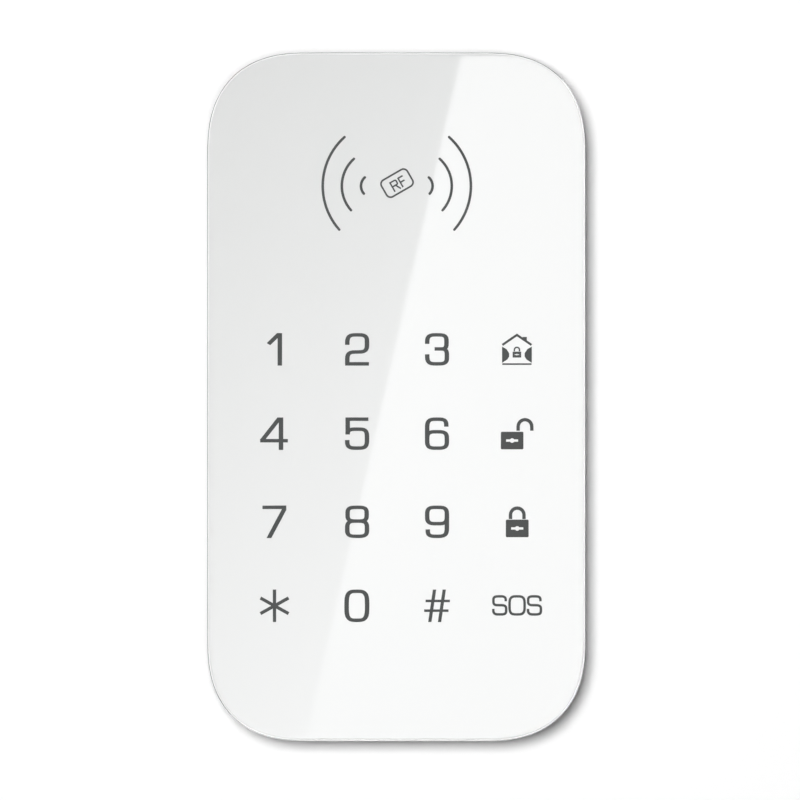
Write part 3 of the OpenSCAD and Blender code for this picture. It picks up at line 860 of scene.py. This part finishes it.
def gloss_panel():
    """White acrylic under a clear polished coat, with a painted highlight on its rounded front edge and
    painted shade, dark grey, where that edge turns to the sides.
    """
    n = Nodes("panel_acrylic")
    cloud = n.spread(n.noise(0.02, 2), 0, 1)
    base = n.mix(cloud, (0.728, 0.736, 0.732), (0.738, 0.744, 0.740))
    surface = n.tree.nodes.new("ShaderNodeNewGeometry")
    parts = n.tree.nodes.new("ShaderNodeSeparateXYZ")
    n.join(surface.outputs["Normal"], parts.inputs[0])
    towards_back = parts.outputs["Y"]
    # Painted highlight: where the rounded edge starts to turn away from the front, the colour is made
    # almost white.
    painted_edge_highlight = n.spread(towards_back, 0, 1, -0.98, -0.88)
    # Painted shade: where the edge turns further, towards the sides, the colour is made dark grey,
    # which draws a dark outline round the panel.
    painted_edge_shade = n.spread(towards_back, 0, 1, -0.75, -0.65)
    tone = n.mix(painted_edge_highlight, base, (0.98, 0.98, 0.98))
    n.join(n.mix(painted_edge_shade, tone, (0.25, 0.26, 0.26)), n.shader.inputs["Base Color"])
    n.join(n.spread(n.noise(0.3, 3), 0.012, 0.03), n.shader.inputs["Roughness"])
    n.bump(n.noise(0.12, 1), 0.02, 0.001)
    n.constant(Coat_Weight=1.0, Coat_Roughness=0.01, Coat_IOR=1.5)
    return n.material


def ink():
    """Dark grey screen print: a faintly uneven, satin layer."""
    n = Nodes("legend_ink")
    speck = n.noise(6, 4)
    base = n.mix(n.spread(speck, 0, 1), (0.074, 0.078, 0.077), (0.083, 0.087, 0.086))
    n.join(base, n.shader.inputs["Base Color"])
    n.join(n.spread(speck, 0.55, 0.7), n.shader.inputs["Roughness"])
    n.bump(speck, 0.15, 0.003)
    n.constant(Specular_IOR_Level=0.1)
    return n.material


def clear(name, colour, rough):
    """Clear acrylic or film with light smears."""
    n = Nodes(name)
    smear = n.noise(0.3, 3)
    n.join(n.mix(n.spread(smear, 0, 1), shade(colour, 0.97), colour), n.shader.inputs["Base Color"])
    n.join(n.spread(smear, rough, rough + 0.08), n.shader.inputs["Roughness"])
    n.bump(smear, 0.1, 0.004)
    n.constant(Transmission_Weight=0.85, IOR=1.49)
    return n.material


def circuit_board():
    """Green solder mask with copper tracks showing through as lighter lines."""
    n = Nodes("solder_mask")
    tracks = n.tree.nodes.new("ShaderNodeTexBrick")
    tracks.inputs["Scale"].default_value = 0.18 / MM
    tracks.inputs["Mortar Size"].default_value = 0.03
    mapping = n.tree.nodes.new("ShaderNodeMapping")
    mapping.inputs["Rotation"].default_value = (math.pi / 2, 0, 0)
    n.join(n.place, mapping.inputs["Vector"])
    n.join(mapping.outputs["Vector"], tracks.inputs["Vector"])
    cloud = n.spread(n.noise(0.2, 3), 0, 1)
    mask = n.mix(cloud, (0.012, 0.09, 0.035), (0.018, 0.12, 0.05))
    line = n.spread(tracks.outputs["Fac"], 0, 0.6, 0, 1)
    n.join(n.mix(line, mask, (0.05, 0.22, 0.09)), n.shader.inputs["Base Color"])
    n.join(n.spread(n.noise(2, 3), 0.28, 0.42), n.shader.inputs["Roughness"])
    n.bump(tracks.outputs["Fac"], 0.5, 0.02)
    return n.material


def dress(piece, material):
    """Gives a whole piece one material."""
    piece.data.materials.clear()
    piece.data.materials.append(material)


def dress_cad(materials):
    """Gives each CAD node that stays its material, in all of its slots."""
    for node, material in materials.items():
        for slot in frame["nodes"][node].material_slots:
            slot.material = material


# ---- The object ----
WHITE = (0.79, 0.79, 0.78)
BLACK = (0.022, 0.022, 0.024)
STEEL = (0.62, 0.62, 0.61)

panel = make_panel()
band = make_frame()
shell = make_housing()
plate = make_bracket()
screws = make_screws()
socket_shell, socket_tongue, socket_contacts = make_socket()
knob = make_knob()
pin = make_plunger()
spring = make_spring()

black_plastic = moulded("black_plastic", BLACK, 0.5, depth=0.006, wear=0.3, vary=0.15)
nylon = moulded("nylon", (0.72, 0.69, 0.6), 0.42, grain=2, depth=0.004, wear=0.2)
steel = metal("plated_steel", STEEL, 0.3, (1, 1, 8))
screw_metal = metal("zinc_plate", (0.6, 0.61, 0.63), 0.34)
gold = metal("gold_plate", (0.8, 0.58, 0.25), 0.28)
chip_black = moulded("chip_epoxy", BLACK, 0.55, grain=5, depth=0.004, vary=0.2)
print_ink = ink()

dress(panel, gloss_panel())
dress(band, moulded("frame_plastic", WHITE, 0.42, grain=3, depth=0.004, wear=0.3))
dress(shell, moulded("shell_plastic", WHITE, 0.5, grain=2.5, depth=0.012, wear=0.4))
dress(plate, moulded("bracket_plastic", shade(WHITE, 0.97), 0.55, grain=2, depth=0.014, wear=0.4))
for screw in screws:
    dress(screw, screw_metal)
dress(socket_shell, steel)
dress(socket_tongue, black_plastic)
dress(socket_contacts, gold)
dress(knob, black_plastic)
dress(pin, nylon)
dress(spring, metal("spring_steel", (0.55, 0.55, 0.56), 0.28))
dress_cad({
    "digit_legends": print_ink,
    "symbol_legends": print_ink,
    "reader_legend": print_ink,
    "panel_adhesive": moulded("adhesive_tape", (0.05, 0.05, 0.05), 0.7, grain=4, depth=0.02, vary=0.15),
    "battery_pad": moulded("foam_pad", (0.12, 0.12, 0.12), 0.8, grain=4, depth=0.05, vary=0.2),
    "touch_film": clear("electrode_film", (0.9, 0.92, 0.92), 0.12),
    "touch_pads": metal("silver_ink", (0.6, 0.6, 0.58), 0.5),
    "light_guide": clear("light_guide", (0.93, 0.96, 0.97), 0.05),
    "backlight_leds": moulded("led_resin", (0.8, 0.72, 0.35), 0.3, depth=0.002, vary=0.08),
    "main_board": circuit_board(),
    "reader_coil": metal("copper_turns", (0.72, 0.36, 0.2), 0.32, (6, 1, 1)),
    "touch_controller": chip_black,
    "microcontroller": chip_black,
    "reader_chip": chip_black,
    "charger_chip": chip_black,
    "radio_module": metal("tinned_can", (0.62, 0.62, 0.6), 0.3, (1, 1, 5)),
    "radio_antenna": gold,
    "crystal": metal("crystal_can", (0.64, 0.64, 0.62), 0.24),
    "board_passives": moulded("fired_ceramic", (0.42, 0.32, 0.2), 0.5, depth=0.006, vary=0.15),
    "buzzer": black_plastic,
    "battery": metal("pouch_foil", (0.66, 0.67, 0.68), 0.36, (1, 1, 4), depth=0.02),
    "battery_leads": moulded("lead_insulation", (0.3, 0.02, 0.02), 0.45, depth=0.004, vary=0.1),
    "battery_plug": nylon,
    "power_switch_body": steel,
    "tamper_switch": black_plastic,
})

for piece in (panel, band, shell, *screws, socket_shell, socket_tongue, socket_contacts):
    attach(piece, "keypad")
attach(plate, "wall_bracket")
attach(knob, "power_knob")
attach(pin, "plunger")
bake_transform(spring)


# ---- Camera ----
# A long lens looks straight at the panel. The view is 145.2 mm wide at the panel's front, and its
# middle lies a little to the right of the panel's middle and a little below it.
VIEW_W = 145.2
VIEW_X = 0.68
VIEW_Z = -0.59
LENS = 200
camera_data = bpy.data.cameras.new("camera")
camera_data.lens = LENS
camera_data.sensor_width = 36
camera_data.clip_start = 0.01
camera_data.clip_end = 50
camera = bpy.data.objects.new("camera", camera_data)
bpy.context.scene.collection.objects.link(camera)
CAMERA_GAP = VIEW_W * LENS / camera_data.sensor_width
camera.location = Vector((VIEW_X, -(PANEL_FRONT + CAMERA_GAP), VIEW_Z)) * MM
camera.rotation_euler = (math.pi / 2, 0, 0)
bpy.context.scene.camera = camera


# ---- Stage ----
def show_only_to(made, seen_by):
    """Makes an object part of the stage, which only the named kinds of ray meet."""
    for kind in ("camera", "diffuse", "glossy", "transmission", "volume_scatter", "shadow"):
        setattr(made, f"visible_{kind}", kind in seen_by)
    made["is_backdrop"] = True


def stage_object(name, points, faces, material, seen_by):
    """A stage surface that only the named kinds of ray meet."""
    mesh = bpy.data.meshes.new(name)
    mesh.from_pydata(points, [], faces)
    mesh.materials.append(material)
    made = bpy.data.objects.new(name, mesh)
    bpy.context.scene.collection.objects.link(made)
    show_only_to(made, seen_by)
    return made


def glow(name, strength, slope_x=0.0, slope_z=0.0):
    """Plain light. It has this strength at the origin, and grows by so much a metre along X and Z."""
    n = Nodes(name)
    tree = n.tree
    tree.nodes.remove(n.shader)
    light = tree.nodes.new("ShaderNodeEmission")
    light.inputs["Strength"].default_value = strength
    if slope_x or slope_z:
        growth = tree.nodes.new("ShaderNodeVectorMath")
        growth.operation = "DOT_PRODUCT"
        growth.inputs[1].default_value = (slope_x, 0, slope_z)
        n.join(n.place, growth.inputs[0])
        total = n.spread(growth.outputs["Value"], 0, 2 * strength, -strength, strength)
        n.join(total, light.inputs["Strength"])
    output = next(node for node in tree.nodes if node.type == "OUTPUT_MATERIAL")
    n.join(light.outputs[0], output.inputs["Surface"])
    return n.material


def one_sided(name, tone, even_from=None):
    """Plain matte paper that is there on a face's front side only.

    From that many metres away from the keypad it has an even white light of its own.
    """
    n = Nodes(name)
    n.constant(Base_Color=(tone, tone, tone, 1), Roughness=1.0, Specular_IOR_Level=0.0)
    paper = n.shader.outputs[0]
    if even_from:
        reach = n.tree.nodes.new("ShaderNodeVectorMath")
        reach.operation = "LENGTH"
        n.join(n.place, reach.inputs[0])
        light = n.tree.nodes.new("ShaderNodeEmission")
        far = n.spread(reach.outputs["Value"], 0, 1, even_from / 2, even_from)
        paper = blend_shaders(n, far, paper, light.outputs[0])
    side = n.tree.nodes.new("ShaderNodeNewGeometry").outputs["Backfacing"]
    nothing = n.tree.nodes.new("ShaderNodeBsdfTransparent").outputs[0]
    output = next(node for node in n.tree.nodes if node.type == "OUTPUT_MATERIAL")
    n.join(blend_shaders(n, side, paper, nothing), output.inputs["Surface"])
    return n.material


def blend_shaders(n, factor, first, second):
    node = n.tree.nodes.new("ShaderNodeMixShader")
    for i, source in enumerate((factor, first, second)):
        n.join(source, node.inputs[i])
    return node.outputs[0]


def make_backdrop():
    """Wall just behind the bracket, and a floor below it with a curved start, in metres.

    The wall gives light back to the keypad's sides. The floor doesn't.
    """
    floor_z = -0.4
    floor_reach = 4
    bend = 0.25
    steps = 12
    half_width = 3
    wall_top = 3
    wall_y = 0.0004
    wall = [(wall_y, wall_top), (wall_y, floor_z + bend)]
    floor = []
    for i in range(steps + 1):
        turn = math.pi / 2 * i / steps
        y = wall_y - bend * (1 - math.cos(turn))
        floor.append((y, floor_z + bend * (1 - math.sin(turn))))
    floor.append((wall_y - floor_reach, floor_z))
    paper = one_sided("backdrop", 1.0, even_from=0.32)
    for name, profile, seen_by in (
        ("backdrop_wall", wall, ("camera", "diffuse")),
        ("backdrop_floor", floor, ("camera",)),
    ):
        points = [(x, y, z) for y, z in profile for x in (-half_width, half_width)]
        faces = [(2 * i, 2 * i + 2, 2 * i + 3, 2 * i + 1) for i in range(len(profile) - 1)]
        sheet = stage_object(name, points, faces, paper, seen_by)
        sheet.data.shade_smooth()


def make_flag():
    """A black flag round the keypad that keeps its lit sides from brightening the wall."""
    gap = 0.4
    ring = outline(-gap)
    count = len(ring)
    points = [Vector((x, -depth, z)) * MM for depth in (-gap, PANEL_FRONT - 1) for x, z in ring]
    faces = [(i, (i + 1) % count, count + (i + 1) % count, count + i) for i in range(count)]
    flag = stage_object("flag", points, faces, one_sided("flag", 0.0), ("diffuse",))
    first = flag.data.polygons[0]
    if first.center.dot(first.normal) < 0:
        flag.data.flip_normals()


def make_dome():
    """Pale surroundings, seen by the camera only."""
    bm = bmesh.new()
    bmesh.ops.create_icosphere(bm, subdivisions=4, radius=5)
    dome = new_object("dome", bm)
    dome.data.materials.append(glow("dome", 1.0))
    show_only_to(dome, ("camera",))


def mirrored(x, z, behind):
    """Where the camera sees the plane at y = -behind in the panel, at a point of the panel."""
    stretch = (behind / MM - PANEL_FRONT) / CAMERA_GAP
    return Vector((x + (x - VIEW_X) * stretch, -behind / MM, z + (z - VIEW_Z) * stretch)) * MM


def make_cards():
    """Two wide reflecting cards behind the camera, which the panel mirrors.

    They meet along the slanting line that crosses the panel's gloss. The right one is brighter,
    and the left one gets brighter towards its bottom right.
    """
    behind = 2.0
    line_x = -2.27
    line_lean = 0.2267
    reach = 250
    far = 0.9
    top = mirrored(line_x + line_lean * reach, reach, behind)
    bottom = mirrored(line_x - line_lean * reach, -reach, behind)
    for name, side, strengths in (("card_right", 1, RIGHT_GLOW), ("card_left", -1, LEFT_GLOW)):
        outer = [Vector((side * far, -behind, z)) for z in (bottom.z, top.z)]
        stage_object(name, [top, bottom, *outer], [(0, 1, 2, 3)], glow(name, *strengths), ("glossy",))


def area_light(name, place, size, power):
    """A soft round light that points at the middle of the keypad and is never seen or mirrored."""
    data = bpy.data.lights.new(name, "AREA")
    data.shape = "DISK"
    data.size = size
    data.energy = power
    light = bpy.data.objects.new(name, data)
    light.location = place
    light.rotation_euler = (-Vector(place)).to_track_quat("-Z", "Y").to_euler()
    light.visible_camera = False
    light.visible_glossy = False
    bpy.context.scene.collection.objects.link(light)
    return light


def make_edge_cards():
    """Cards beside and behind the keypad, which its rounded edges and its back mirror."""
    side = 1.0
    half_l = 0.5
    # How far in front of the wall, or behind it, the cards start and end
    front_near, front_far = -0.06, -0.9
    rear_near, rear_far = -0.15, 0.9
    back_y = 2.4
    back_half_w, back_half_h = 2.0, 1.5
    upper_left = [
        (front_far, -half_l),
        (front_far, half_l),
        (front_near, half_l),
        (front_near, -half_l),
    ]
    lower_right = [
        (rear_near, -side),
        (rear_near, side),
        (rear_far, side),
        (rear_far, -side),
    ]
    corners = ((-1, -1), (1, -1), (1, 1), (-1, 1))
    for name, strength, points in (
        ("card_edge_left", FRONT_EDGE_GLOW, [(-side, y, along) for y, along in upper_left]),
        ("card_edge_top", FRONT_EDGE_GLOW, [(along, y, side) for y, along in upper_left]),
        ("card_edge_right", REAR_EDGE_GLOW, [(side, y, along) for y, along in lower_right]),
        ("card_edge_bottom", REAR_EDGE_GLOW, [(along, y, -side) for y, along in lower_right]),
        ("card_rear", REAR_GLOW, [(i * back_half_w, back_y, j * back_half_h) for i, j in corners]),
    ):
        stage_object(name, points, [(0, 1, 2, 3)], glow(name, strength), ("glossy",))


# Light of the two wide cards at the origin, and how it grows in a metre to the right and upwards
RIGHT_GLOW = (2.81, 0.45, -0.7)
LEFT_GLOW = (1.53, 4.2, -5.2)
# Light of the cards that the edges and the back mirror
FRONT_EDGE_GLOW = 1.8
REAR_EDGE_GLOW = 5.5
REAR_GLOW = 0.8

make_backdrop()
make_flag()
make_dome()
make_cards()
make_edge_cards()

world = bpy.data.worlds.new("studio")
world.use_nodes = True
world.node_tree.nodes["Background"].inputs["Color"].default_value = (1, 1, 1, 1)
world.node_tree.nodes["Background"].inputs["Strength"].default_value = 0.02
bpy.context.scene.world = world
bpy.context.scene.view_settings.view_transform = "Standard"

# Two round soft lights near the camera: the main one gives the short shadow to the lower right, and
# the weak one the faint shade round the upper left
area_light("key", (-0.064, -0.85, 0.058), 0.165, 6.42)
area_light("key_fill", (0.025, -0.85, -0.035), 0.07, 1.1)
# Lights for the sides and the back, from behind the wall's plane, which the backdrop doesn't catch
lit = bpy.data.collections.new("lit_from_behind")
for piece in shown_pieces():
    lit.objects.link(piece)
for name, place in (("rear_left", (1.7, 1.3, 1.0)), ("rear_right", (-1.7, 1.3, -1.0))):
    area_light(name, place, 1.2, 16.0).light_linking.receiver_collection = lit
